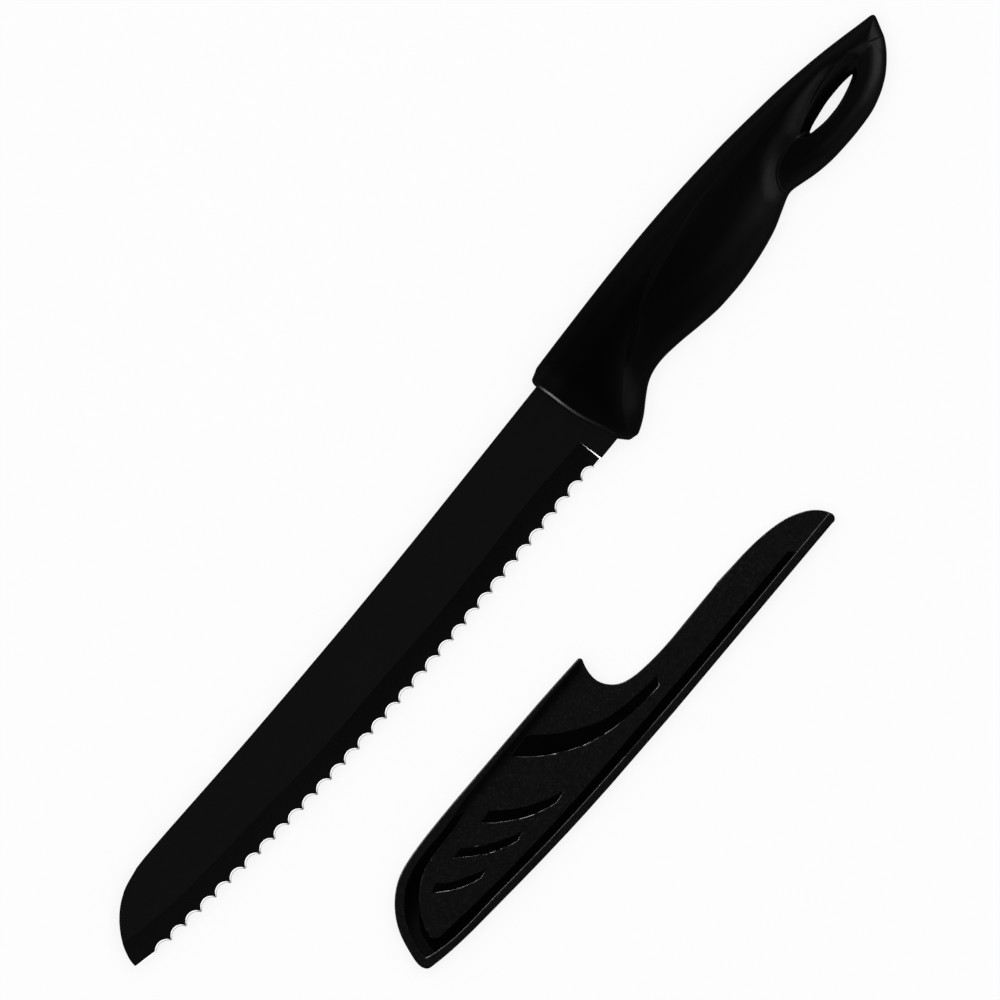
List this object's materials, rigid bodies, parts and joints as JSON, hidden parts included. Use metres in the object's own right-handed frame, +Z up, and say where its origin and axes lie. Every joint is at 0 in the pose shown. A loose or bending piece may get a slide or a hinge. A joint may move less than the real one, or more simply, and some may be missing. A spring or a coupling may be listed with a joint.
{
  "type": "bread knife",
  "caption": "Serrated bread knife with black coated blade, moulded handle with hang hole, and a slotted clip-on blade guard that slides onto the edge.",
  "frame": {"origin": "middle of the footprint of the knife and its guard, on the surface they lie on", "axes": "+X from the blade tip to the butt of the handle, +Y from the cutting edge to the spine, +Z up, out of the blade's front face"},
  "size_m": [0.3434, 0.0946, 0.0156],
  "materials": {
    "coated_steel": "satin non-stick coating, bare ground steel along the scallops",
    "handle_plastic": "semi-gloss, smooth",
    "guard_plastic": "matte, fine-grained"
  },
  "bodies": {
    "knife": {"blade": "coated_steel", "handle": "handle_plastic"},
    "guard": {"guard_front_shell": "guard_plastic", "guard_back_shell": "guard_plastic"}
  },
  "joints": [
    {"name": "guard_slide", "type": "slide", "parent": "knife", "child": "guard", "axis": [-0.666, 0.7443, 0.0493], "range_m": [0, 0.08048]}
  ]
}
